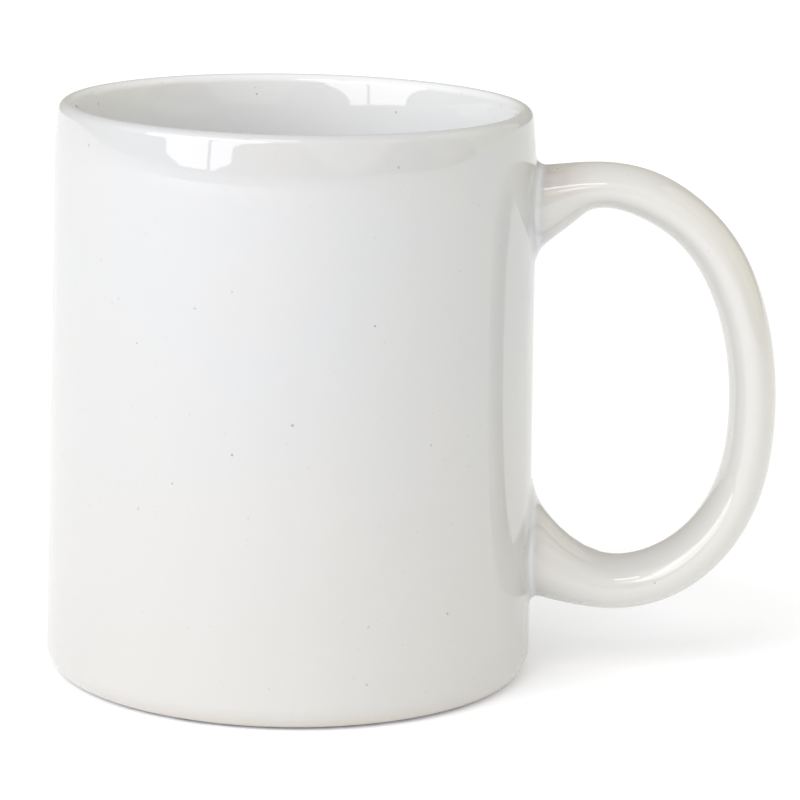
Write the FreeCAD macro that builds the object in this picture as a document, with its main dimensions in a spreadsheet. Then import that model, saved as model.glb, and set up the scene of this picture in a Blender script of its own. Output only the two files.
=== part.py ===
"""Ceramic mug: a clay cup and a clay loop handle joined with slip, under three coats of glaze.

Millimetres, +Z up, origin on the cup's axis in the plane it stands on, handle towards +X.
"""
import FreeCAD
import Part
import Sketcher

import os

doc = FreeCAD.newDocument("mug")
sheet = doc.addObject("Spreadsheet::Sheet", "sizes")

DIMENSIONS = {
    # heights and coats of the whole mug
    "total_height": 95.5,
    "glaze_coat": 0.3,
    # clay wall
    "wall_low_radius": 40.8,
    "shoulder_radius": 39.6,
    "shoulder_height": 84.5,
    "shoulder_round": 78,
    "rim_centre_radius": 37.6,
    "rim_round": 1.3,
    "rim_lean": 7.8,
    "lip_lean": 9.5,
    "lip_round": 60,
    "bore_low_radius": 35.4,
    "bore_corner": 8,
    "floor_top": 5.5,
    # foot ring and the rounded edge above it
    "edge_height": 4,
    "edge_round": 4.2,
    "foot_inner_radius": 34.4,
    "recess_radius": 33.4,
    "recess_depth": 1.8,
    "bare_foot_height": 0.5,
    # handle loop: crowns of its centre line, and half sizes of the oval bar
    "upper_crown_reach": 49,
    "upper_crown_height": 83,
    "lower_crown_reach": 54.3,
    "lower_crown_height": 15.75,
    "loop_reach": 76.9,
    "loop_height": 44,
    "upper_fullness": 2.3,
    "lower_fullness": 2.06,
    "bar_half_width": 6.6,
    "upper_bar_half_depth": 3.7,
    "lower_bar_half_depth": 4.25,
    # handle arms, from each crown back into the wall
    "arm_length": 18,
    "upper_arm_drop": 7.2,
    "upper_arm_swell": 5.9,
    "upper_arm_power": 1.2,
    "upper_arm_flare": 3.3,
    "lower_arm_rise": 7.6,
    "lower_arm_swell": 3.9,
    "lower_arm_power": 1.8,
    "lower_arm_flare": 2,
    # slip joints
    "slip_layer": 0.9,
    "collar_round": 1.5,
}

# share of each arm's length at which its deepest section stands
UPPER_ARM_END = 1.0
LOWER_ARM_END = 1.15
ARM_SECTIONS = 4
QUARTER_SECTIONS = 4


def fill_sheet():
    for row, (alias, value) in enumerate(DIMENSIONS.items(), start=1):
        sheet.set(f"A{row}", alias)
        sheet.set(f"B{row}", str(value))
        sheet.setAlias(f"B{row}", alias)
    doc.recompute()


def size(expression):
    """Write an expression with the sheet's name put before each of its words."""
    words = sorted(DIMENSIONS, key=len, reverse=True)
    marked = expression
    for number, word in enumerate(words):
        marked = marked.replace(word, f"<{number}>")
    for number, word in enumerate(words):
        marked = marked.replace(f"<{number}>", f"sizes.{word}")
    return marked


def value(expression):
    return float(sheet.evalExpression(size(expression)))


def place_sketch(body, name, role):
    sketch = body.newObject("Sketcher::SketchObject", name)
    face = next(item for item in body.Origin.OriginFeatures if item.Role == role)
    sketch.AttachmentSupport = (face, "")
    sketch.MapMode = "FlatFace"
    return sketch


def drive(sketch, kind, name, refs, expression):
    """Add one dimension whose value follows the sheet."""
    index = sketch.addConstraint(Sketcher.Constraint(kind, *refs, value(expression)))
    sketch.renameConstraint(index, name)
    sketch.setExpression(f"Constraints.{name}", size(expression))


def hold_corner(sketch, number, vertex, reach, height):
    if reach == "0":
        sketch.addConstraint(Sketcher.Constraint("PointOnObject", number, vertex, -2))
    else:
        drive(sketch, "DistanceX", f"reach{number}", (-1, 1, number, vertex), reach)
    if height == "0":
        sketch.addConstraint(Sketcher.Constraint("PointOnObject", number, vertex, -1))
    else:
        drive(sketch, "DistanceY", f"height{number}", (-1, 1, number, vertex), height)


def arc_bulging(start, end, radius):
    """Arc of under half a turn; it bulges right of the way to its end, or left for a negative radius."""
    chord = end - start
    across = FreeCAD.Vector(chord.y, -chord.x, 0).normalize()
    bulge = abs(radius) - (radius**2 - chord.Length**2 / 4) ** 0.5
    middle = (start + end) / 2
    if radius > 0:
        return Part.Arc(start, middle + across * bulge, end)
    return Part.Arc(end, middle - across * bulge, start)


def outline(body, name, corners):
    """Closed outline of a turned shape.

    Each corner is (radius, height), or (radius, height, arc) where an arc of that radius leads on
    to the next corner.
    """
    sketch = place_sketch(body, name, "XZ_Plane")
    points = [FreeCAD.Vector(value(corner[0]), value(corner[1]), 0) for corner in corners]
    arcs = [value(corner[2]) if len(corner) == 3 else 0 for corner in corners]
    vertices = [2 if arc < 0 else 1 for arc in arcs]
    for start, end, arc in zip(points, points[1:] + points[:1], arcs):
        sketch.addGeometry(arc_bulging(start, end, arc) if arc else Part.LineSegment(start, end))
    for number, corner in enumerate(corners):
        after = (number + 1) % len(corners)
        joined = (number, 3 - vertices[number], after, vertices[after])
        sketch.addConstraint(Sketcher.Constraint("Coincident", *joined))
        hold_corner(sketch, number, vertices[number], corner[0], corner[1])
        if arcs[number]:
            drive(sketch, "Radius", f"round{number}", (number,), corner[2].lstrip("-"))
    return sketch


def turn(body, name, corners):
    sketch = outline(body, f"{name}_outline", corners)
    turned = body.newObject("PartDesign::Revolution", name)
    turned.Profile = sketch
    turned.ReferenceAxis = (sketch, ["V_Axis"])
    turned.Angle = 360
    return turned


# Shared corner expressions of the turned shapes; "coat" is the thickness laid over the clay.
EDGE_CENTRE = "(wall_low_radius - edge_round)"
RIM_CENTRE = "(total_height - glaze_coat - rim_round)"


def edge_reach(height, coat):
    """Radius of the rounded bottom edge at a height."""
    return f"{EDGE_CENTRE} + sqrt((edge_round + {coat})^2 - (edge_height - {height})^2)"


def rim_start(coat):
    """Point where the shoulder runs into the rim's round."""
    round_radius = f"(rim_round + {coat})"
    reach = f"rim_centre_radius + {round_radius} * cos(rim_lean)"
    return reach, f"{RIM_CENTRE} + {round_radius} * sin(rim_lean)"


def outer_side(lowest, coat):
    """Corners up the outside, from a height in the rounded edge to the rim crest."""
    return [
        (edge_reach(lowest, coat), lowest, f"edge_round + {coat}"),
        (f"wall_low_radius + {coat}", "edge_height"),
        (f"shoulder_radius + {coat}", "shoulder_height", f"shoulder_round + {coat}"),
        (*rim_start(coat), f"rim_round + {coat}"),
    ]


def crest(coat):
    return ("rim_centre_radius", f"{RIM_CENTRE} + rim_round + {coat}")


def lip_start(coat):
    """Point on the inside where the rim's round runs into the lip's long curve."""
    round_radius = f"(rim_round + {coat})"
    reach = f"rim_centre_radius - {round_radius} * cos(lip_lean)"
    return reach, f"{RIM_CENTRE} + {round_radius} * sin(lip_lean)"


def lip_end(coat):
    """Point where the lip's curve has come round to upright and the bore's wall begins."""
    spread = "(lip_round - rim_round)"
    return (
        f"rim_centre_radius + {spread} * cos(lip_lean) - lip_round - {coat}",
        f"{RIM_CENTRE} - {spread} * sin(lip_lean)",
    )


def inner_side(coat):
    """Corners down the inside, from the rim crest to the middle of the floor."""
    return [
        (*crest(coat), f"rim_round + {coat}"),
        (*lip_start(coat), f"lip_round + {coat}"),
        lip_end(coat),
        (f"bore_low_radius - {coat}", "floor_top + bore_corner", f"-(bore_corner - {coat})"),
        ("bore_low_radius - bore_corner", f"floor_top + {coat}"),
        ("0", f"floor_top + {coat}"),
    ]


def make_cup():
    body = doc.addObject("PartDesign::Body", "cup_body")
    foot = [("0", "recess_depth"), ("recess_radius", "recess_depth"), ("foot_inner_radius", "0")]
    turn(body, "cup", foot + outer_side("0", "0") + inner_side("0"))
    return body


def filled_cup(body, name, lowest, coat):
    """Cup outside as one solid block, which the joints and the outer glaze are worked out from."""
    return turn(body, name, [("0", lowest)] + outer_side(lowest, coat) + [crest(coat), ("0", crest(coat)[1])])


def oval(body, name, section, coat):
    """One section of the handle bar, square to its centre line."""
    reach, height, tilt, half_depth, half_width = section
    sketch = place_sketch(body, name, "YZ_Plane")
    across = value(half_width) + value(coat)
    deep = value(half_depth) + value(coat)
    middle = FreeCAD.Vector(0, 0, 0)
    sketch.addGeometry(Part.Ellipse(FreeCAD.Vector(across, 0, 0), FreeCAD.Vector(0, deep, 0), middle))
    sketch.exposeInternalGeometry(0)
    sketch.addConstraint(Sketcher.Constraint("Coincident", 0, 3, -1, 1))
    sketch.addConstraint(Sketcher.Constraint("Horizontal", 1))
    drive(sketch, "Distance", "width", (1,), f"2 * ({half_width} + {coat})")
    drive(sketch, "Distance", "depth", (2,), f"2 * ({half_depth} + {coat})")
    sketch.AttachmentOffset = FreeCAD.Placement(middle, FreeCAD.Rotation(FreeCAD.Vector(1, 0, 0), 1))
    sketch.setExpression("AttachmentOffset.Base.z", size(reach))
    sketch.setExpression("AttachmentOffset.Base.y", size(height))
    sketch.setExpression("AttachmentOffset.Rotation.Angle", size(tilt))
    return sketch


def arm_section(share, side, sign):
    """Section on an arm, where share runs from 0 at the crown to the arm's deep end."""
    lift = "upper_arm_drop" if side == "upper" else "lower_arm_rise"
    power = f"{side}_arm_power"
    slope = f"{lift} * {power} * {share}^({power} - 1) / arm_length"
    return (
        f"{side}_crown_reach - arm_length * {share}",
        f"{side}_crown_height - {sign} * {lift} * {share}^{power}",
        f"atan2(-({slope}); {sign})",
        f"({side}_bar_half_depth + {side}_arm_swell * {share}^{power})",
        f"(bar_half_width + {side}_arm_flare * {share}^3)",
    )


def loop_section(angle, side, sign):
    """Section on a quarter of the loop; the angle is 0 at the far end and 90 at the crown."""
    wide = f"(loop_reach - {side}_crown_reach)"
    tall = f"abs({side}_crown_height - loop_height)"
    power = f"(2 / {side}_fullness)"
    return (
        f"{side}_crown_reach + {wide} * cos({angle})^{power}",
        f"loop_height + {sign} * {tall} * sin({angle})^{power}",
        f"atan2(cos({angle})^(2 - {power}) / {wide}; {sign} * sin({angle})^(2 - {power}) / {tall})",
        f"(upper_bar_half_depth + ({side}_bar_half_depth - upper_bar_half_depth) * sin({angle})^2)",
        "bar_half_width",
    )


def bar_sections():
    """Sections from the upper end of the handle, round the loop, to its lower end."""
    steps = range(ARM_SECTIONS, 0, -1)
    quarter = range(QUARTER_SECTIONS, 0, -1)
    upper_arm = [arm_section(UPPER_ARM_END * step / ARM_SECTIONS, "upper", 1) for step in steps]
    upper_loop = [loop_section(90 * step / QUARTER_SECTIONS, "upper", 1) for step in quarter]
    lower_loop = [loop_section(90 * step / QUARTER_SECTIONS, "lower", -1) for step in quarter]
    lower_arm = [arm_section(LOWER_ARM_END * step / ARM_SECTIONS, "lower", -1) for step in steps]
    return upper_arm + upper_loop + [loop_section(0, "upper", 1)] + lower_loop[::-1] + lower_arm[::-1]


def add_bar(body, name, coat):
    ovals = [oval(body, f"{name}_oval{step}", section, coat) for step, section in enumerate(bar_sections())]
    bar = body.newObject("PartDesign::AdditiveLoft", name)
    bar.Profile = ovals[0]
    bar.Sections = ovals[1:]
    bar.Ruled = False
    return bar


def on_wall(edge):
    """True for an edge of the line where the bar meets the wall."""
    low = value("wall_low_radius")
    top = value("shoulder_radius")
    rise = value("shoulder_height - edge_height")
    reach = value("upper_arm_swell + bar_half_width")
    for step in range(5):
        first, last = edge.ParameterRange
        point = edge.valueAt(first + (last - first) * step / 4)
        wall = low + (top - low) * (point.z - value("edge_height")) / rise
        away = abs((point.x**2 + point.y**2) ** 0.5 - wall)
        if away > 2 * value("glaze_coat") or abs(point.y) > reach or point.x < 0:
            return False
    return True


def make_form(name, lowest, coat):
    """Filled cup with the bar and its collars, all in one solid."""
    body = doc.addObject("PartDesign::Body", name)
    filled_cup(body, f"{name}_cup", lowest, coat)
    bar = add_bar(body, f"{name}_bar", coat)
    doc.recompute()
    edges = [f"Edge{number}" for number, edge in enumerate(bar.Shape.Edges, start=1) if on_wall(edge)]
    collars = body.newObject("PartDesign::Fillet", f"{name}_collars")
    collars.Base = (bar, edges)
    collars.setExpression("Radius", size(f"collar_round - {coat}"))
    return body


def combine(kind, name, base, tool):
    joined = doc.addObject(f"Part::{kind}", name)
    joined.Base = base
    joined.Tool = tool
    return joined


def make_cope():
    """Space that the handle ends are cut back by, so that they stand one slip layer off the wall."""
    body = doc.addObject("PartDesign::Body", "cope")
    corners = [
        ("0", "0"),
        ("wall_low_radius + slip_layer", "0"),
        ("wall_low_radius + slip_layer", "edge_height"),
        ("shoulder_radius + slip_layer", "shoulder_height", "shoulder_round + slip_layer"),
        rim_start("slip_layer"),
        ("0", rim_start("slip_layer")[1]),
    ]
    turn(body, "coped", corners)
    return body


def make_handle_and_joints(clay_form):
    """The loop, and the slip under its two ends with the collars squeezed out round them."""
    block = doc.addObject("PartDesign::Body", "clay_block")
    filled_cup(block, "clay_block_cup", "0", "0")
    outside = combine("Cut", "outside_the_wall", clay_form, block)
    cope = make_cope()
    handle = combine("Cut", "handle", outside, cope)
    slip = combine("Common", "slip", outside, cope)
    joints = []
    for name, lowest in (("upper_slip_joint", "total_height / 2"), ("lower_slip_joint", "0")):
        half = doc.addObject("Part::Box", f"{name}_space")
        half.setExpression("Length", size("2 * loop_reach"))
        half.setExpression("Width", size("2 * loop_reach"))
        half.setExpression("Height", size("total_height / 2"))
        half.setExpression("Placement.Base.y", size("-loop_reach"))
        half.setExpression("Placement.Base.z", size(lowest))
        joints.append(combine("Common", name, slip, half))
    return [handle, *joints]


def make_outer_glaze(clay_form):
    """Coat over wall, handle and collars, from the bare foot up to the rim crest."""
    glazed_form = make_form("glazed_form", "bare_foot_height", "glaze_coat")
    coat = combine("Cut", "coat_and_lid", glazed_form, clay_form)
    lid = doc.addObject("Part::Cylinder", "lid_space")
    lid.setExpression("Radius", size("rim_centre_radius"))
    lid.setExpression("Height", size("2 * total_height"))
    return combine("Cut", "outer_glaze", coat, lid)


def make_liner_glaze():
    """Coat of the inside, from the rim crest down over the floor."""
    body = doc.addObject("PartDesign::Body", "liner_glaze")
    clay = inner_side("0")
    glazed = inner_side("glaze_coat")
    back_up = [
        clay[5],
        (*clay[4], "bore_corner"),
        clay[3][:2],
        (*clay[2], "-lip_round"),
        (*clay[1][:2], "-rim_round"),
        clay[0][:2],
    ]
    turn(body, "liner", glazed + back_up)
    return body


def make_base_glaze():
    """Coat of the recess inside the foot ring, stopping above the bare ring."""
    body = doc.addObject("PartDesign::Body", "base_glaze")
    slant = "(foot_inner_radius - (foot_inner_radius - recess_radius) * bare_foot_height / recess_depth)"
    corners = [
        ("0", "recess_depth - glaze_coat"),
        ("recess_radius - glaze_coat", "recess_depth - glaze_coat"),
        (f"{slant} - glaze_coat", "bare_foot_height"),
        (slant, "bare_foot_height"),
        ("recess_radius", "recess_depth"),
        ("0", "recess_depth"),
    ]
    turn(body, "base", corners)
    return body


def check(nodes):
    for item in doc.Objects:
        if "Invalid" in item.State or "Error" in item.State:
            raise RuntimeError(f"{item.Name} did not build: {item.State}")
    for node in nodes:
        shape = node.Shape
        if shape.isNull() or not shape.isValid() or len(shape.Solids) != 1:
            raise RuntimeError(f"{node.Label} is not one sound solid")
        print(node.Label, round(shape.Volume, 1), shape.optimalBoundingBox())


def export(nodes):
    os.makedirs("parts", exist_ok=True)
    for node in nodes:
        node.Shape.exportStep(f"parts/{node.Label}.step")


fill_sheet()
clay_form = make_form("clay_form", "0", "0")
nodes = [make_cup(), *make_handle_and_joints(clay_form), make_outer_glaze(clay_form)]
nodes += [make_liner_glaze(), make_base_glaze()]
doc.recompute()
check(nodes)
export(nodes)
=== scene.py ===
import math

import bpy
import numpy as np
from mathutils import Matrix, Vector, noise


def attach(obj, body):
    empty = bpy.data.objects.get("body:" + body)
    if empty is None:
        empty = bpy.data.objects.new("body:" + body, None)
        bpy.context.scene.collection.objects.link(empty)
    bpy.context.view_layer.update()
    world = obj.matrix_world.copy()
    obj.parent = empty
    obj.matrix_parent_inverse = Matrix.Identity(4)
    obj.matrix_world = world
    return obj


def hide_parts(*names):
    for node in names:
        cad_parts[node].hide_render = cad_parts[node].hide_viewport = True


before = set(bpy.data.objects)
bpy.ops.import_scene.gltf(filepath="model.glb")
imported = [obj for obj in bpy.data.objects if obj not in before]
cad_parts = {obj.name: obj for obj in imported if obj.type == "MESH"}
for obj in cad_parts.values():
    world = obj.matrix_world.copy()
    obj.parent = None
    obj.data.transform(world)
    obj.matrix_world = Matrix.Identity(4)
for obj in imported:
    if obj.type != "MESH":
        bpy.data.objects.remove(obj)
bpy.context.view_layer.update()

MM = 0.001

# Glazed surface of the turned cup, in millimetres, as (radius, height) points and radii.
TOTAL_HEIGHT = 95.5
EDGE_CENTRE = (36.6, 4.0)
EDGE_ROUND = 4.5
WALL_LOW = (41.1, 4.0)
SHOULDER = (39.9, 84.5)
SHOULDER_ROUND = 78.3
RIM_ROUND = 1.6
LIP_ROUND = 60.3
LIP_LEAN = math.radians(9.5)
BORE_LOW_RADIUS = 35.1
BORE_CORNER = 7.7
FLOOR_HEIGHT = 5.8
GLAZE = 0.3
UNEVENNESS = 0.12

# The bead where the outer glaze stops above the bare foot: heights of its root and of its top.
BEAD_ROOT_HEIGHT = 0.55
BEAD_TOP_HEIGHT = 0.75

# The glazed recess under the floor: its flat part's radius and height, and its round corner.
RECESS_RADIUS = 33.15
RECESS_HEIGHT = 1.5
RECESS_CORNER = (0.35, 0.4)

# Mesh density of the cup and of the collars round the handle ends.
COLUMNS = 256
HOLE_COLUMNS = 13
HOLE_ROWS = 26
UPPER_HOLE = (67.4, 91.0)
LOWER_HOLE = (7.6, 35.8)
COLLAR_ROUND = 1.7
UPPER_COLLAR_END = 17.5
LOWER_COLLAR_END = 21.0
BAR_RING_SPACING = 0.9
BAR_SAMPLES = 900
RAIL_SAMPLES = 400
COLLAR_MARGIN = 8
SETTLE_ROUNDS = 8

WALL_LEAN = math.atan2(WALL_LOW[0] - SHOULDER[0], SHOULDER[1] - WALL_LOW[1])
SHOULDER_CENTRE = (
    SHOULDER[0] - SHOULDER_ROUND * math.cos(WALL_LEAN),
    SHOULDER[1] - SHOULDER_ROUND * math.sin(WALL_LEAN),
)


def rim_lean():
    """Lean of the shoulder where the rim's round takes over, found by stepping to where both meet."""
    lean = WALL_LEAN
    for _ in range(20):
        height = TOTAL_HEIGHT - RIM_ROUND + RIM_ROUND * math.sin(lean)
        lean = math.asin((height - SHOULDER_CENTRE[1]) / SHOULDER_ROUND)
    return lean


RIM_LEAN = rim_lean()
RIM_CENTRE = (
    SHOULDER_CENTRE[0] + (SHOULDER_ROUND - RIM_ROUND) * math.cos(RIM_LEAN),
    TOTAL_HEIGHT - RIM_ROUND,
)
RIM_START = RIM_CENTRE[1] + RIM_ROUND * math.sin(RIM_LEAN)
LIP_CENTRE = (
    RIM_CENTRE[0] + (LIP_ROUND - RIM_ROUND) * math.cos(LIP_LEAN),
    RIM_CENTRE[1] - (LIP_ROUND - RIM_ROUND) * math.sin(LIP_LEAN),
)


def wall_radius(height):
    """Outer radius of the glazed wall between the rounded bottom edge and the rim's round."""
    height = np.asarray(height, dtype=float)
    straight = WALL_LOW[0] - (height - WALL_LOW[1]) * math.tan(WALL_LEAN)
    above = np.clip(height - SHOULDER_CENTRE[1], 0, SHOULDER_ROUND * 0.9)
    curved = SHOULDER_CENTRE[0] + np.sqrt(SHOULDER_ROUND**2 - above**2)
    return np.where(height < SHOULDER[1], straight, curved)


def arc(centre, radius, first, last, count):
    """Points on an arc in the (radius, height) plane, without its first point."""
    angles = np.linspace(first, last, count + 1)[1:]
    return [(centre[0] + radius * math.cos(a), centre[1] + radius * math.sin(a)) for a in angles]


def wall_rows():
    """Heights of the wall's rows; each joint's hole spans HOLE_ROWS of them."""
    spans = [
        (WALL_LOW[1], LOWER_HOLE[0], 4),
        (LOWER_HOLE[0], LOWER_HOLE[1], HOLE_ROWS),
        (LOWER_HOLE[1], UPPER_HOLE[0], 30),
        (UPPER_HOLE[0], UPPER_HOLE[1], HOLE_ROWS),
        (UPPER_HOLE[1], RIM_START, 4),
    ]
    heights = [WALL_LOW[1]]
    for low, high, count in spans:
        heights += list(np.linspace(low, high, count + 1)[1:])
    return heights


def cup_profile():
    """Rows of the glaze skin from its bead above the foot, over the rim, to the middle of the floor.

    Returns the (radius, height) rows and the number of the row where the straight wall starts.
    """
    bead_angle = math.asin((BEAD_TOP_HEIGHT - EDGE_CENTRE[1]) / EDGE_ROUND)
    clay = EDGE_ROUND - GLAZE
    clay_angle = math.asin((BEAD_ROOT_HEIGHT - EDGE_CENTRE[1]) / clay)
    root = EDGE_CENTRE[0] + clay * math.cos(clay_angle)
    rows = [
        (root - 0.08, BEAD_ROOT_HEIGHT + 0.02),
        (root + 0.06, BEAD_ROOT_HEIGHT - 0.10),
        (root + 0.20, BEAD_ROOT_HEIGHT - 0.08),
        (root + 0.31, BEAD_ROOT_HEIGHT),
        (EDGE_CENTRE[0] + EDGE_ROUND * math.cos(bead_angle), BEAD_TOP_HEIGHT),
    ]
    rows += arc(EDGE_CENTRE, EDGE_ROUND, bead_angle, 0, 10)
    first_wall_row = len(rows) - 1
    rows += [(float(wall_radius(height)), height) for height in wall_rows()[1:]]
    rows += arc(RIM_CENTRE, RIM_ROUND, RIM_LEAN, math.pi - LIP_LEAN, 34)
    rows += arc(LIP_CENTRE, LIP_ROUND, math.pi - LIP_LEAN, math.pi, 10)
    top = rows[-1]
    low = (BORE_LOW_RADIUS, FLOOR_HEIGHT + BORE_CORNER)
    rows += [
        (top[0] + (low[0] - top[0]) * drop, top[1] + (low[1] - top[1]) * drop)
        for drop in np.linspace(0, 1, 54)[1:]
    ]
    corner = (BORE_LOW_RADIUS - BORE_CORNER, FLOOR_HEIGHT + BORE_CORNER)
    rows += arc(corner, BORE_CORNER, 0, -math.pi / 2, 14)
    rows += [(corner[0] * share, FLOOR_HEIGHT) for share in np.linspace(1, 0.04, 22)[1:]]
    return rows, first_wall_row


# Handle bar, in millimetres: half sizes with their glaze, and the crowns of its centre line.
BAR_HALF_WIDTH = 6.6 + GLAZE
UPPER_HALF_DEPTH = 3.7 + GLAZE
LOWER_HALF_DEPTH = 4.25 + GLAZE
UPPER_CROWN = (49.0, 83.0)
LOWER_CROWN = (54.3, 15.75)
LOOP_END = (76.9, 44.0)
UPPER_FULLNESS = 2.3
LOWER_FULLNESS = 2.06

# Handle arms from a crown to the wall: how far they dip, swell, how late, and how far they flare.
ARM_LENGTH = 18.0
UPPER_ARM = (7.2, 5.9, 1.2, 3.3)
LOWER_ARM = (7.6, 3.9, 1.8, 2.0)
LOWER_ARM_REACH = 1.15


def arm_section(share, crown, arm, half_depth, sign):
    """Section of an arm as (reach, height, tilt, half depth, half width); share is 1 at the wall."""
    lift, swell, power, flare = arm
    slope = lift * power * share ** (power - 1) / ARM_LENGTH
    return (
        crown[0] - ARM_LENGTH * share,
        crown[1] - sign * lift * share**power,
        math.atan2(-slope, sign),
        half_depth + swell * share**power,
        BAR_HALF_WIDTH + flare * share**3,
    )


def loop_section(angle, crown, fullness, half_depth, sign):
    """Section of the loop between its end and a crown, as arm_section gives it."""
    wide = LOOP_END[0] - crown[0]
    tall = abs(crown[1] - LOOP_END[1])
    power = 2 / fullness
    across = max(math.cos(angle), 0)
    along = max(math.sin(angle), 0)
    return (
        crown[0] + wide * across**power,
        LOOP_END[1] + sign * tall * along**power,
        math.atan2(across ** (2 - power) / wide, sign * along ** (2 - power) / tall),
        UPPER_HALF_DEPTH + (half_depth - UPPER_HALF_DEPTH) * along**2,
        BAR_HALF_WIDTH,
    )


def bar_sections():
    """Sections from the handle's upper end, round the loop, to its lower end."""
    steps = [1, 0.75, 0.5, 0.25]
    turn = math.pi / 2
    upper = (UPPER_HALF_DEPTH, 1)
    lower = (LOWER_HALF_DEPTH, -1)
    sections = [arm_section(s, UPPER_CROWN, UPPER_ARM, *upper) for s in steps]
    sections += [loop_section(s * turn, UPPER_CROWN, UPPER_FULLNESS, *upper) for s in steps + [0]]
    steps.reverse()
    sections += [loop_section(s * turn, LOWER_CROWN, LOWER_FULLNESS, *lower) for s in steps]
    sections += [arm_section(LOWER_ARM_REACH * s, LOWER_CROWN, LOWER_ARM, *lower) for s in steps]
    return sections


def natural_spline(knots, values, at):
    """Natural cubic spline through values (one row per knot), read at the given parameters."""
    gaps = np.diff(knots)
    slopes = np.diff(values, axis=0) / gaps[:, None]
    size = len(knots)
    matrix = np.eye(size)
    right = np.zeros_like(values)
    for i in range(1, size - 1):
        matrix[i, i - 1 : i + 2] = gaps[i - 1], 2 * (gaps[i - 1] + gaps[i]), gaps[i]
        right[i] = 6 * (slopes[i] - slopes[i - 1])
    bends = np.linalg.solve(matrix, right)
    i = np.clip(np.searchsorted(knots, at, side="right") - 1, 0, size - 2)
    gap = gaps[i][:, None]
    after = (at - knots[i])[:, None]
    before = (knots[i + 1] - at)[:, None]
    return (
        (bends[i] * before**3 + bends[i + 1] * after**3) / (6 * gap)
        + (values[i] / gap - bends[i] * gap / 6) * before
        + (values[i + 1] / gap - bends[i + 1] * gap / 6) * after
    )


class Bar:
    """The handle's oval bar as a smooth sweep, measured by length along its centre line."""

    def __init__(self):
        sections = np.array(bar_sections())
        reach, height, tilt, depth, width = sections.T
        lean = np.stack([np.sin(tilt), np.cos(tilt)], axis=1)
        middle = np.stack([reach, height], axis=1)
        outer = middle + lean * depth[:, None]
        inner = middle - lean * depth[:, None]
        self.knots = np.concatenate([[0], np.cumsum(np.hypot(*np.diff(middle, axis=0).T))])
        self.values = np.concatenate([outer, inner, width[:, None]], axis=1)
        self.length = self.knots[-1]
        self.lengths = np.linspace(0, self.length, BAR_SAMPLES)
        self.middles, self.leans, self.depths, self.widths = self.at(self.lengths)

    def at(self, lengths):
        """Middle, outward direction, half depth and half width at these lengths."""
        read = natural_spline(self.knots, self.values, np.asarray(lengths, dtype=float))
        outer, inner, width = read[:, 0:2], read[:, 2:4], read[:, 4]
        across = outer - inner
        depth = np.hypot(*across.T) / 2
        return (outer + inner) / 2, across / (2 * depth[:, None]), depth, width

    def points(self, lengths, angles):
        """Surface points; angle 0 is towards +Y and a quarter turn is the loop's outside."""
        middle, lean, depth, width = self.at(lengths)
        out = depth * np.sin(angles)
        reach = middle[:, 0] + lean[:, 0] * out
        height = middle[:, 1] + lean[:, 1] * out
        return np.stack([reach, width * np.cos(angles), height], axis=1)

    def distance(self, points, low, high):
        """Rough signed distance from the bar, counting only its lengths between low and high."""
        keep = (self.lengths >= low) & (self.lengths <= high)
        middles, leans = self.middles[keep], self.leans[keep]
        depths, widths = self.depths[keep], self.widths[keep]
        flat = points[:, [0, 2]]
        offset = flat[:, None, :] - middles[None, :, :]
        along = offset[:, :, 0] * leans[None, :, 1] - offset[:, :, 1] * leans[None, :, 0]
        passed = (along[:, :-1] > 0) & (along[:, 1:] <= 0)
        found = passed.any(axis=1)
        i = np.where(found, passed.argmax(axis=1), np.where(along[:, 0] <= 0, 0, along.shape[1] - 2))
        row = np.arange(len(points))
        span = along[row, i] - along[row, i + 1]
        share = np.where(found, along[row, i] / np.where(abs(span) < 1e-9, 1, span), np.where(i == 0, 0, 1))

        def blend(table):
            weight = share[:, None] if table.ndim == 2 else share
            return table[i] + (table[i + 1] - table[i]) * weight

        middle, lean, depth, width = blend(middles), blend(leans), blend(depths), blend(widths)
        out = ((flat - middle) * lean).sum(axis=1)
        side = points[:, 1]
        size = np.sqrt((out / depth) ** 2 + (side / width) ** 2)
        return np.hypot(out, side) * (1 - 1 / np.maximum(size, 1e-6))


def wall_distance(points):
    """Distance of points outside the cup's outer wall."""
    radius = np.hypot(points[:, 0], points[:, 1])
    return (radius - wall_radius(points[:, 2])) * math.cos(WALL_LEAN)


def rounded_join(points, bar, low, high):
    """Zero on the skin of wall and bar together, with a round of COLLAR_ROUND in the crease."""
    wall = wall_distance(points)
    rod = bar.distance(points, low, high)
    near = np.maximum(COLLAR_ROUND - wall, 0)
    beside = np.maximum(COLLAR_ROUND - rod, 0)
    return np.maximum(COLLAR_ROUND, np.minimum(wall, rod)) - np.hypot(near, beside)


def settle(points, bar, low, high):
    """Move points onto the joined skin by Newton steps."""
    step = 0.01
    for _ in range(SETTLE_ROUNDS):
        value = rounded_join(points, bar, low, high)
        moved = [rounded_join(points + step * axis, bar, low, high) for axis in np.eye(3)]
        slope = np.stack([(near - value) / step for near in moved], axis=1)
        points = points - slope * (value / np.maximum((slope**2).sum(axis=1), 0.05))[:, None]
    return points


def square_loop():
    """Steps round a square hole's edge as (across, up), from -1 to 1, starting low at the -Y side."""
    across = [i / HOLE_COLUMNS for i in range(-HOLE_COLUMNS, HOLE_COLUMNS)]
    up = [2 * i / HOLE_ROWS - 1 for i in range(HOLE_ROWS)]
    return (
        [(a, -1.0) for a in across]
        + [(1.0, u) for u in up]
        + [(-a, 1.0) for a in across]
        + [(-1.0, -u) for u in up]
    )


# Shares of the way from the bar's foot to the hole's edge, and from the foot to the collar's end.
WALL_STEPS = np.array([0.82, 0.65, 0.5, 0.37, 0.26, 0.17, 0.1, 0.045])
BAR_STEPS = np.array([0.0, 0.04, 0.085, 0.14, 0.2, 0.27, 0.36, 0.48, 0.62, 0.8, 1.0])


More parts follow.
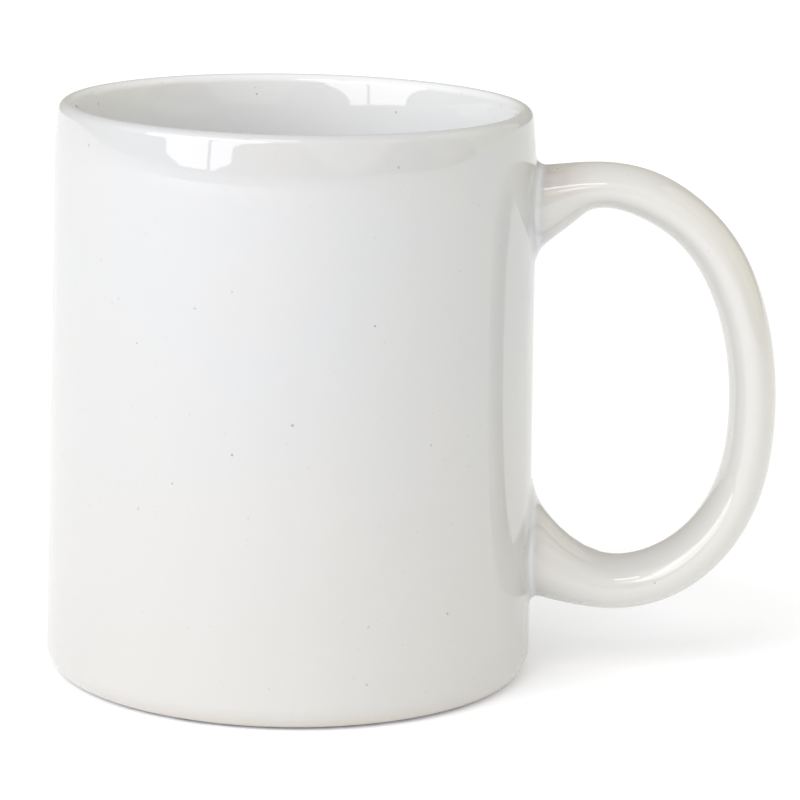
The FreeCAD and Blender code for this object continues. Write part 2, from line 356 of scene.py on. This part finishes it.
def collar_rings(bar, corners, angles, deep, common):
    """Rings from a hole's edge to a whole ring of the bar, for one joint.

    corners are the hole's edge points, deep the bar length inside the wall, and common the length of
    the ring where the collar ends.
    """
    lengths = np.linspace(deep, common, RAIL_SAMPLES)
    crossing = []
    for angle in angles:
        rail = bar.points(lengths, np.full_like(lengths, angle))
        outside = wall_distance(rail)
        last = np.nonzero(outside < 0)[0].max()
        share = outside[last] / (outside[last] - outside[last + 1])
        crossing.append(lengths[last] + (lengths[last + 1] - lengths[last]) * share)
    crossing = np.array(crossing)
    foot = bar.points(crossing, angles)
    foot_turn = np.arctan2(foot[:, 1], foot[:, 0])
    corner_turn = np.arctan2(corners[:, 1], corners[:, 0])
    low, high = min(deep, common) - COLLAR_MARGIN, max(deep, common) + COLLAR_MARGIN
    rings = []
    for share in WALL_STEPS:
        turn = foot_turn + (corner_turn - foot_turn) * share
        height = foot[:, 2] + (corners[:, 2] - foot[:, 2]) * share
        radius = wall_radius(height)
        rings.append(np.stack([radius * np.cos(turn), radius * np.sin(turn), height], axis=1))
    for share in BAR_STEPS:
        rings.append(bar.points(crossing + (common - crossing) * share, angles))
    return [settle(ring, bar, low, high) for ring in rings]


def skin_mesh():
    """Vertices and faces of one skin of glaze over cup, collars and handle."""
    rows, first_wall_row = cup_profile()
    turns = 2 * math.pi * np.arange(COLUMNS) / COLUMNS
    vertices = [(r * math.cos(turn), r * math.sin(turn), height) for r, height in rows for turn in turns]
    heights = wall_rows()
    lower_row = first_wall_row + heights.index(LOWER_HOLE[0])
    upper_row = first_wall_row + heights.index(UPPER_HOLE[0])

    def at(row, column):
        return row * COLUMNS + column % COLUMNS

    faces = []
    for row in range(len(rows) - 1):
        holed = any(start <= row < start + HOLE_ROWS for start in (lower_row, upper_row))
        for column in range(COLUMNS):
            signed = column if column < COLUMNS // 2 else column - COLUMNS
            if holed and -HOLE_COLUMNS <= signed < HOLE_COLUMNS:
                continue
            low, high = (at(row, column), at(row, column + 1)), (at(row + 1, column + 1), at(row + 1, column))
            faces.append(low + high)
    middle = len(vertices)
    vertices.append((0, 0, FLOOR_HEIGHT))
    last = len(rows) - 1
    faces += [(at(last, column), at(last, column + 1), middle) for column in range(COLUMNS)]

    loop = square_loop()
    angles = np.array([math.atan2(up, across) for across, up in loop])
    half = HOLE_ROWS // 2
    steps = [(round(across * HOLE_COLUMNS), round(up * half)) for across, up in loop]
    upper_edge = [at(upper_row + half + up, across) for across, up in steps]
    lower_edge = [at(lower_row + half - up, across) for across, up in steps]
    bar = Bar()
    grid = np.array(vertices)
    upper_end, lower_end = UPPER_COLLAR_END, bar.length - LOWER_COLLAR_END
    upper = collar_rings(bar, grid[upper_edge], angles, 0.0, upper_end)
    lower = collar_rings(bar, grid[lower_edge], angles, bar.length, lower_end)
    count = round((lower_end - upper_end) / BAR_RING_SPACING)
    between = [
        bar.points(np.full(len(angles), length), angles)
        for length in np.linspace(upper_end, lower_end, count + 1)[1:-1]
    ]
    rings = upper + between + lower[::-1]
    previous = upper_edge
    for ring in rings:
        start = len(vertices)
        vertices += [tuple(point) for point in ring]
        current = list(range(start, start + len(ring)))
        faces += ring_faces(previous, current)
        previous = current
    faces += ring_faces(previous, lower_edge)
    return np.array(vertices), faces


def ring_faces(first, second):
    """Quads between two closed rings of the same number of vertices."""
    after = first[1:] + first[:1]
    second_after = second[1:] + second[:1]
    return [(a, b, d, c) for a, b, c, d in zip(first, after, second, second_after)]


def waver(point):
    """Inward unevenness of a dipped glaze, in millimetres: a slow swell and a finer ripple."""
    slow = noise.noise(Vector(point) / 24 + Vector((3.1, 0.4, 7.7)))
    fine = noise.noise(Vector(point) / 9 + Vector((8.3, 5.2, 1.9)))
    return UNEVENNESS * (0.5 + 0.38 * slow + 0.12 * fine)


def mesh_object(name, vertices, faces):
    mesh = bpy.data.meshes.new(name)
    mesh.from_pydata([tuple(float(v) * MM for v in vertex) for vertex in vertices], [], faces)
    mesh.validate()
    mesh.polygons.foreach_set("use_smooth", [True] * len(mesh.polygons))
    mesh.update()
    piece = bpy.data.objects.new(name, mesh)
    bpy.context.scene.collection.objects.link(piece)
    return piece


def normals_of(vertices, faces):
    """Vertex normals of a mesh of quads and triangles."""
    corner = np.array([face[:3] for face in faces])
    opposite = np.array([face[-1] for face in faces])
    first = vertices[corner[:, 2]] - vertices[corner[:, 0]]
    second = vertices[opposite] - vertices[corner[:, 1]]
    flat = np.cross(first, second)
    triangle = np.array([len(face) == 3 for face in faces])
    edge = vertices[corner[:, 1]] - vertices[corner[:, 0]]
    flat[triangle] = np.cross(edge, first)[triangle]
    normals = np.zeros_like(vertices)
    for face_corner in range(4):
        index = np.array([face[min(face_corner, len(face) - 1)] for face in faces])
        np.add.at(normals, index, flat)
    return normals / np.maximum(np.linalg.norm(normals, axis=1), 1e-12)[:, None]


def make_skin(material):
    vertices, faces = skin_mesh()
    normals = normals_of(vertices, faces)
    depth = np.array([waver(vertex) for vertex in vertices])
    vertices = vertices - normals * depth[:, None]
    piece = mesh_object("glaze_skin", vertices, faces)
    piece.data.materials.append(material)
    return piece


def make_recess(material):
    """Glaze over the recess under the floor, with a bead where it stops on the foot ring's inner side."""
    rows = [(34.07, 0.62), (34.00, 0.50), (33.86, 0.52), (33.76, 0.68)]
    rows += [(33.66 - 0.14 * share, 0.9 + 0.2 * share) for share in (0.5, 1)]
    wide, tall = RECESS_CORNER
    rows += [
        (RECESS_RADIUS + wide * math.cos(angle), RECESS_HEIGHT - tall * (1 - math.sin(angle)))
        for angle in np.linspace(0.2, math.pi / 2, 6)
    ]
    rows += [(RECESS_RADIUS * share, RECESS_HEIGHT) for share in np.linspace(1, 0.04, 24)[1:]]
    turns = 2 * math.pi * np.arange(COLUMNS) / COLUMNS
    vertices = [(r * math.cos(turn), r * math.sin(turn), z) for r, z in rows for turn in turns]
    faces = []
    for row in range(len(rows) - 1):
        for column in range(COLUMNS):
            after = (column + 1) % COLUMNS
            low, high = row * COLUMNS, (row + 1) * COLUMNS
            faces.append((low + after, low + column, high + column, high + after)[::-1])
    middle = len(vertices)
    vertices.append((0, 0, RECESS_HEIGHT))
    last = (len(rows) - 1) * COLUMNS
    faces += [(last + column, middle, last + (column + 1) % COLUMNS)[::-1] for column in range(COLUMNS)]
    piece = mesh_object("recess_glaze", vertices, faces)
    piece.data.materials.append(material)
    return piece


class Wiring:
    """A node tree, with short ways to add and join nodes."""

    def __init__(self, tree):
        self.tree = tree

    def add(self, kind, **settings):
        node = self.tree.nodes.new(kind)
        for name, setting in settings.items():
            setattr(node, name, setting)
        return node

    def join(self, source, target):
        self.tree.links.new(source, target)

    def value(self, target, source):
        """Give a socket a link or a plain value."""
        if hasattr(source, "links"):
            self.join(source, target)
        else:
            target.default_value = source

    def math(self, operation, first, second=0.0):
        node = self.add("ShaderNodeMath", operation=operation)
        self.value(node.inputs[0], first)
        self.value(node.inputs[1], second)
        return node.outputs[0]

    def ramp(self, source, low, high, first=0.0, last=1.0):
        """Smooth change from first to last while source goes from low to high."""
        node = self.add("ShaderNodeMapRange", interpolation_type="SMOOTHSTEP")
        self.value(node.inputs["Value"], source)
        node.inputs["From Min"].default_value = low
        node.inputs["From Max"].default_value = high
        node.inputs["To Min"].default_value = first
        node.inputs["To Max"].default_value = last
        return node.outputs["Result"]

    def mix(self, share, first, second):
        node = self.add("ShaderNodeMix", data_type="RGBA")
        self.value(node.inputs[0], share)
        for target, source in ((node.inputs[6], first), (node.inputs[7], second)):
            self.value(target, source if hasattr(source, "links") else (*source, 1.0))
        return node.outputs[2]


class Nodes(Wiring):
    """A material's nodes, with patterns placed in the mug's own frame."""

    def __init__(self, name):
        self.material = bpy.data.materials.new(name)
        self.material.use_nodes = True
        super().__init__(self.material.node_tree)
        self.shader = next(node for node in self.tree.nodes if node.type == "BSDF_PRINCIPLED")
        self.place = self.add("ShaderNodeTexCoord").outputs["Object"]

    def height(self):
        """Height above the table."""
        split = self.add("ShaderNodeSeparateXYZ")
        self.join(self.place, split.inputs["Vector"])
        return split.outputs["Z"]

    def reach(self):
        """Distance from the cup's axis."""
        flat = self.add("ShaderNodeVectorMath", operation="MULTIPLY")
        self.join(self.place, flat.inputs[0])
        flat.inputs[1].default_value = (1, 1, 0)
        length = self.add("ShaderNodeVectorMath", operation="LENGTH")
        self.join(flat.outputs[0], length.inputs[0])
        return length.outputs["Value"]

    def band(self, source, start, full, fade, end):
        """1 between full and fade, falling to 0 at start and end."""
        return self.math("MULTIPLY", self.ramp(source, start, full), self.ramp(source, fade, end, 1.0, 0.0))

    def noise(self, size, detail=2.0, roughness=0.5):
        """Noise whose features are about size millimetres across, from 0 to 1."""
        node = self.add("ShaderNodeTexNoise")
        node.inputs["Scale"].default_value = 1 / (size * MM)
        node.inputs["Detail"].default_value = detail
        node.inputs["Roughness"].default_value = roughness
        self.join(self.place, node.inputs["Vector"])
        return node.outputs["Fac"]

    def cells(self, spacing):
        """Scattered points about spacing millimetres apart: distance in cells, and a colour for each."""
        node = self.add("ShaderNodeTexVoronoi")
        node.inputs["Scale"].default_value = 1 / (spacing * MM)
        self.join(self.place, node.inputs["Vector"])
        return node.outputs["Distance"], node.outputs["Color"]

    def bump(self, height, distance, strength=1.0, below=None):
        """Surface relief distance millimetres deep, on top of the relief below."""
        node = self.add("ShaderNodeBump")
        node.inputs["Strength"].default_value = strength
        node.inputs["Distance"].default_value = distance * MM
        self.join(height, node.inputs["Height"])
        if below is not None:
            self.join(below, node.inputs["Normal"])
        return node.outputs["Normal"]


def specks(nodes, spacing, smallest, largest):
    """Round dots of random size, in millimetres; 1 inside a dot."""
    distance, colour = nodes.cells(spacing)
    split = nodes.add("ShaderNodeSeparateColor")
    nodes.join(colour, split.inputs["Color"])
    share = nodes.math("POWER", split.outputs[0], 3.0)
    reach = nodes.ramp(share, 0, 1, smallest / spacing, largest / spacing)
    inside = nodes.math("DIVIDE", distance, reach)
    return nodes.ramp(inside, 0.6, 1.0, 1.0, 0.0), split.outputs[1]


# Glaze colours, in linear light.
OUTER_COOL = (0.518, 0.527, 0.540)
OUTER_WARM = (0.528, 0.522, 0.508)
THIN_AT_FOOT = (0.540, 0.500, 0.450)
# White of the liner, paler than the outer glaze: partly glaze colour, partly painted light inside the cup.
LINER_WHITE_AND_PAINTED_LIGHT = (0.705, 0.714, 0.727)
# Handle glaze: a warmer tone, and paler than the wall as painted light.
HANDLE_WARM_AND_PAINTED_LIGHT = (0.592, 0.585, 0.563)
POOLED_BLUE = (0.660, 0.700, 0.750)
# Painted shade, brownish, on the upper handle root beside its crease.
BROWNISH_ROOT_SHADE = (0.480, 0.425, 0.360)
CLOUD = (0.536, 0.531, 0.519)
SPECK_BROWN = (0.26, 0.17, 0.10)
SPECK_GREY = (0.38, 0.36, 0.34)
PINHOLE = (0.46, 0.43, 0.38)

# Where the glaze changes, in metres: distances from the wall's surface, from the axis and above the table.
# The handle and liner spans also place painted light, and the root spans place painted shade.
HANDLE_STARTS = (0.4 * MM, 3.5 * MM)
# Span off the wall and heights of the painted shade on the upper handle root.
ROOT_SHADE_BAND = (0.8 * MM, 2.0 * MM, 3 * MM, 10 * MM)
ROOT_SHADE_HEIGHT = (79 * MM, 86 * MM)
POOL_BAND = (0.35 * MM, 0.65 * MM, 0.75 * MM, 1.5 * MM)
LINER_EDGE = (36.6 * MM, 37.9 * MM)
LINER_HEIGHT = (3 * MM, 5 * MM)
FOOT_HEIGHT = (0.6 * MM, 3.4 * MM)
WARM_HEIGHT = (0.0, 70 * MM)


def glaze_base(nodes):
    """The glaze's colour without its specks, with painted light on the liner and handle and painted shade at
    the upper handle root.
    """
    height = nodes.height()
    reach = nodes.reach()
    base = nodes.mix(nodes.ramp(height, *WARM_HEIGHT, 1.0, 0.0), OUTER_COOL, OUTER_WARM)
    base = nodes.mix(nodes.ramp(nodes.noise(22, 3.0), 0.35, 0.65, 0.0, 0.45), base, CLOUD)

    off_wall = nodes.math("ADD", nodes.math("MULTIPLY", height, math.tan(WALL_LEAN)), reach)
    off_wall = nodes.math("SUBTRACT", off_wall, (WALL_LOW[0] + WALL_LOW[1] * math.tan(WALL_LEAN)) * MM)
    # The handle is warmer and paler than the wall: the warmth is its tone, the extra paleness is painted
    # light.
    base = nodes.mix(nodes.ramp(off_wall, *HANDLE_STARTS), base, HANDLE_WARM_AND_PAINTED_LIGHT)

    # Painted shade on the upper handle root beside its crease, brownish and mottled by noise.
    root = nodes.math("MULTIPLY", nodes.band(off_wall, *ROOT_SHADE_BAND), nodes.ramp(height, *ROOT_SHADE_HEIGHT))
    root = nodes.math("MULTIPLY", root, nodes.ramp(nodes.noise(3, 3.0), 0.3, 0.7, 0.35, 0.8))
    base = nodes.mix(root, base, BROWNISH_ROOT_SHADE)
    pooled = nodes.math("MULTIPLY", nodes.band(off_wall, *POOL_BAND), 0.5)
    base = nodes.mix(pooled, base, POOLED_BLUE)

    # The liner is paler than the outer glaze: painted light inside the cup.
    within = nodes.ramp(reach, *LINER_EDGE, 1.0, 0.0)
    inside = nodes.math("MULTIPLY", within, nodes.ramp(height, *LINER_HEIGHT))
    base = nodes.mix(inside, base, LINER_WHITE_AND_PAINTED_LIGHT)
    uneven = nodes.ramp(nodes.noise(7, 2.0), 0.3, 0.7, 0.5, 1.0)
    foot = nodes.math("MULTIPLY", nodes.ramp(height, *FOOT_HEIGHT, 1.0, 0.0), uneven)
    return nodes.mix(foot, base, THIN_AT_FOOT)


def glaze_material():
    """Glossy white glaze: slow tone changes, brown and grey specks, pinholes and a slight ripple, with the
    painted light and shade of glaze_base.
    """
    nodes = Nodes("white_glaze_with_painted_light_and_shade")
    shader = nodes.shader
    dark, tint = specks(nodes, 3.1, 0.07, 0.31)
    speck_colour = nodes.mix(tint, SPECK_BROWN, SPECK_GREY)
    base = nodes.mix(nodes.math("MULTIPLY", dark, 0.62), glaze_base(nodes), speck_colour)
    pinhole, _ = specks(nodes, 1.9, 0.08, 0.24)
    base = nodes.mix(nodes.math("MULTIPLY", pinhole, 0.30), base, PINHOLE)
    nodes.join(base, shader.inputs["Base Color"])
    nodes.join(nodes.ramp(nodes.noise(6, 3.0), 0.3, 0.7, 0.02, 0.045), shader.inputs["Roughness"])
    ripple = nodes.bump(nodes.noise(11, 1.0), 0.035, 0.5)
    relief = nodes.bump(nodes.math("SUBTRACT", 1.0, pinhole), 0.05, 0.6, ripple)
    nodes.join(relief, shader.inputs["Normal"])
    shader.inputs["IOR"].default_value = 1.7
    return nodes.material


# Clay colours, in linear light, and where the painted contact shadow at the bare foot's outer edge lies, in
# metres.
CLAY_DARK = (0.66, 0.61, 0.53)
CLAY_PALE = (0.74, 0.70, 0.63)
GRIT = (0.42, 0.36, 0.30)
# Grey of the painted contact shadow along the foot's outer edge.
CONTACT_SHADOW_GREY = (0.27, 0.26, 0.27)
CONTACT_SHADOW_HEIGHT = (0.55 * MM, 0.65 * MM)
CONTACT_SHADOW_RADIUS = (37.5 * MM, 37.8 * MM)


def clay_material():
    """Bare fired clay: warm off-white, matt, with grit and fine pores, and a painted contact shadow at the
    foot's outer edge.
    """
    nodes = Nodes("bare_clay_and_painted_shadow")
    shader = nodes.shader
    tone = nodes.ramp(nodes.noise(4, 4.0, 0.6), 0.3, 0.7)
    base = nodes.mix(tone, CLAY_DARK, CLAY_PALE)
    grit, _ = specks(nodes, 1.1, 0.05, 0.22)
    base = nodes.mix(nodes.math("MULTIPLY", grit, 0.6), base, GRIT)
    # Painted contact shadow: darker grey, unevenly, along the bottom of the foot's outer edge.
    low = nodes.ramp(nodes.height(), *CONTACT_SHADOW_HEIGHT, 1.0, 0.0)
    edge = nodes.math("MULTIPLY", low, nodes.ramp(nodes.reach(), *CONTACT_SHADOW_RADIUS))
    uneven = nodes.ramp(nodes.noise(2.5, 3.0), 0.3, 0.7, 0.6, 1.0)
    base = nodes.mix(nodes.math("MULTIPLY", edge, uneven), base, CONTACT_SHADOW_GREY)
    nodes.join(base, shader.inputs["Base Color"])
    nodes.join(nodes.ramp(nodes.noise(1.5, 3.0), 0.3, 0.7, 0.72, 0.88), shader.inputs["Roughness"])
    nodes.join(nodes.bump(nodes.noise(0.5, 4.0, 0.7), 0.04, 0.8), shader.inputs["Normal"])
    return nodes.material


FLOOR_REACH = 6.0
FLOOR_GLOW = (0.155, 0.165, 0.190)
GLOW_STARTS = (36.6 * MM, 39.4 * MM)


def floor_material():
    """Plain pale floor with a little light of its own, which fades out under the mug."""
    nodes = Nodes("studio_floor")
    tone = nodes.ramp(nodes.noise(120, 2.0), 0.3, 0.7)
    nodes.join(nodes.mix(tone, (0.93, 0.93, 0.93), (0.95, 0.95, 0.95)), nodes.shader.inputs["Base Color"])
    nodes.shader.inputs["Roughness"].default_value = 0.9
    nodes.shader.inputs["Specular IOR Level"].default_value = 0.2
    nodes.shader.inputs["Emission Color"].default_value = (*FLOOR_GLOW, 1.0)
    nodes.join(nodes.ramp(nodes.reach(), *GLOW_STARTS), nodes.shader.inputs["Emission Strength"])
    return nodes.material


def make_floor():
    mesh = bpy.data.meshes.new("studio_floor")
    corners = [(x * FLOOR_REACH, y * FLOOR_REACH, 0) for x, y in ((-1, -1), (1, -1), (1, 1), (-1, 1))]
    mesh.from_pydata(corners, [], [(0, 1, 2, 3)])
    floor = bpy.data.objects.new("studio_floor", mesh)
    mesh.materials.append(floor_material())
    bpy.context.scene.collection.objects.link(floor)


def aim(thing, place, target):
    """Put a light in its place, shining at the target."""
    thing.location = place
    thing.rotation_euler = (Vector(target) - Vector(place)).to_track_quat("-Z", "Y").to_euler()


# Daylight through the window, in metres from a point at the mug's rim.
WINDOW_DISTANCE = 1.6
WINDOW_TARGET = Vector((0, 0, 0.088))
DAYLIGHT = (0.964, 0.942, 1.0)


def pane_light(name, turns, lifts, brightness):
    """Bright pane seen from the mug's rim between two compass turns and two lifts, in degrees."""
    turn = math.radians(sum(turns) / 2)
    lift = math.radians(sum(lifts) / 2)
    toward = Vector((math.cos(turn) * math.cos(lift), math.sin(turn) * math.cos(lift), math.sin(lift)))
    width = 2 * WINDOW_DISTANCE * math.cos(lift) * math.tan(math.radians(turns[1] - turns[0]) / 2)
    height = 2 * WINDOW_DISTANCE * math.tan(math.radians(lifts[1] - lifts[0]) / 2)
    light = bpy.data.lights.new(name, "AREA")
    light.shape = "RECTANGLE"
    light.size = width
    light.size_y = height
    light.energy = brightness * math.pi * width * height
    light.color = DAYLIGHT
    thing = bpy.data.objects.new(name, light)
    bpy.context.scene.collection.objects.link(thing)
    aim(thing, WINDOW_TARGET + toward * WINDOW_DISTANCE, WINDOW_TARGET)
    return light


def shape_pane(light, middle, bar_place, bar_width):
    """Narrow a pane towards its sill and put one thin dark bar across it, in shares of its size."""
    light.use_nodes = True
    tree = light.node_tree
    nodes = Wiring(tree)
    place = nodes.add("ShaderNodeNewGeometry").outputs["Parametric"]
    split = nodes.add("ShaderNodeSeparateXYZ")
    nodes.join(place, split.inputs[0])
    up = split.outputs["Y"]
    sill, flare = nodes.ramp(up, 0.0, 0.06, 0.15, 0.27), nodes.ramp(up, 0.13, 0.38, 0.0, 0.23)
    half_width = nodes.math("ADD", sill, flare)
    aside = nodes.math("ABSOLUTE", nodes.math("SUBTRACT", split.outputs["X"], middle))
    glass = nodes.ramp(nodes.math("SUBTRACT", half_width, aside), 0.0, 0.012)
    from_bar = nodes.math("ABSOLUTE", nodes.math("SUBTRACT", split.outputs["X"], bar_place))
    clear = nodes.ramp(from_bar, bar_width / 2, bar_width)
    nodes.join(nodes.math("MULTIPLY", glass, clear), tree.nodes["Emission"].inputs["Strength"])


def soft_light(name, turn, lift, colour):
    """Broad light from far away; colour is the brightness of a white card that faces it."""
    light = bpy.data.lights.new(name, "SUN")
    light.energy = math.pi * max(colour)
    light.color = [part / max(colour) for part in colour]
    light.angle = math.radians(60)
    thing = bpy.data.objects.new(name, light)
    bpy.context.scene.collection.objects.link(thing)
    turn, lift = math.radians(turn), math.radians(lift)
    toward = Vector((math.cos(turn) * math.cos(lift), math.sin(turn) * math.cos(lift), math.sin(lift)))
    aim(thing, toward * 2, (0, 0, 0))


# Studio air's brightness, level with the mug and overhead.
HORIZON = (0.504, 0.482, 0.419)
ZENITH = (0.790, 0.790, 0.855)


def make_world():
    """Even studio air, warmer towards the horizon and brighter overhead."""
    world = bpy.data.worlds.new("studio_air")
    bpy.context.scene.world = world
    world.use_nodes = True
    tree = world.node_tree
    nodes = Wiring(tree)
    split = nodes.add("ShaderNodeSeparateXYZ")
    nodes.join(nodes.add("ShaderNodeTexCoord").outputs["Generated"], split.inputs[0])
    above = nodes.math("MAXIMUM", split.outputs["Z"], 0.0)
    colour = nodes.mix(nodes.math("POWER", above, 2.0), HORIZON, ZENITH)
    nodes.join(colour, tree.nodes["Background"].inputs["Color"])


def make_lights():
    make_world()
    window = pane_light("window", (-163, -99), (0, 42), 2.7)
    shape_pane(window, 0.48, 0.575, 0.016)
    pane_light("upper_window", (-114, -84), (50, 59), 4.0)
    pane_light("side_window", (-138, -91), (28, 47), 1.3)
    soft_light("left_sky", -160, 40, (0.136, 0.153, 0.122))
    soft_light("front_sky", -60, 30, (0.108, 0.106, 0.095))
    soft_light("back_sky", 25, 25, (0.110, 0.106, 0.075))
    soft_light("right_sky", -5, 30, (0.068, 0.065, 0.049))


# Camera, in the mug's frame: distance, height, tilt, turn, roll and focal length.
CAMERA_TURN = math.radians(4)
CAMERA_DISTANCE = 0.5664
CAMERA_HEIGHT = 0.1715
CAMERA_PITCH = 0.2187
CAMERA_YAW = 0.0320
CAMERA_ROLL = -0.0229
CAMERA_LENS = 3458.2 / 800 * 36


def make_camera():
    """Camera at the photo's angle; its place and axes are turned about the mug together."""
    ahead = Vector((
        math.sin(CAMERA_YAW) * math.cos(CAMERA_PITCH),
        math.cos(CAMERA_YAW) * math.cos(CAMERA_PITCH),
        -math.sin(CAMERA_PITCH),
    ))
    right = Vector((math.cos(CAMERA_YAW), -math.sin(CAMERA_YAW), 0))
    down = ahead.cross(right)
    turned_right = right * math.cos(CAMERA_ROLL) + down * math.sin(CAMERA_ROLL)
    turned_down = down * math.cos(CAMERA_ROLL) - right * math.sin(CAMERA_ROLL)
    axes = Matrix((turned_right, -turned_down, -ahead)).transposed().to_4x4()
    place = Matrix.Translation((0, -CAMERA_DISTANCE, CAMERA_HEIGHT))
    camera = bpy.data.cameras.new("camera")
    camera.sensor_width = 36
    camera.lens = CAMERA_LENS
    camera.clip_start = 0.01
    thing = bpy.data.objects.new("camera", camera)
    bpy.context.scene.collection.objects.link(thing)
    thing.matrix_world = Matrix.Rotation(CAMERA_TURN, 4, "Z") @ place @ axes
    bpy.context.scene.camera = thing


def repaint(node, material):
    """Give a CAD node that stays in view a material of its own."""
    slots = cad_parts[node].data.materials
    slots.clear()
    slots.append(material)


bpy.context.scene.view_settings.view_transform = "Standard"
make_camera()
glaze = glaze_material()
clay = clay_material()
skin = make_skin(glaze)
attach(skin, "root")
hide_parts("outer_glaze", "liner_glaze")
recess = make_recess(glaze)
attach(recess, "root")
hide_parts("base_glaze")
for node in ("cup_body", "handle", "upper_slip_joint", "lower_slip_joint"):
    repaint(node, clay)
make_floor()
make_lights()
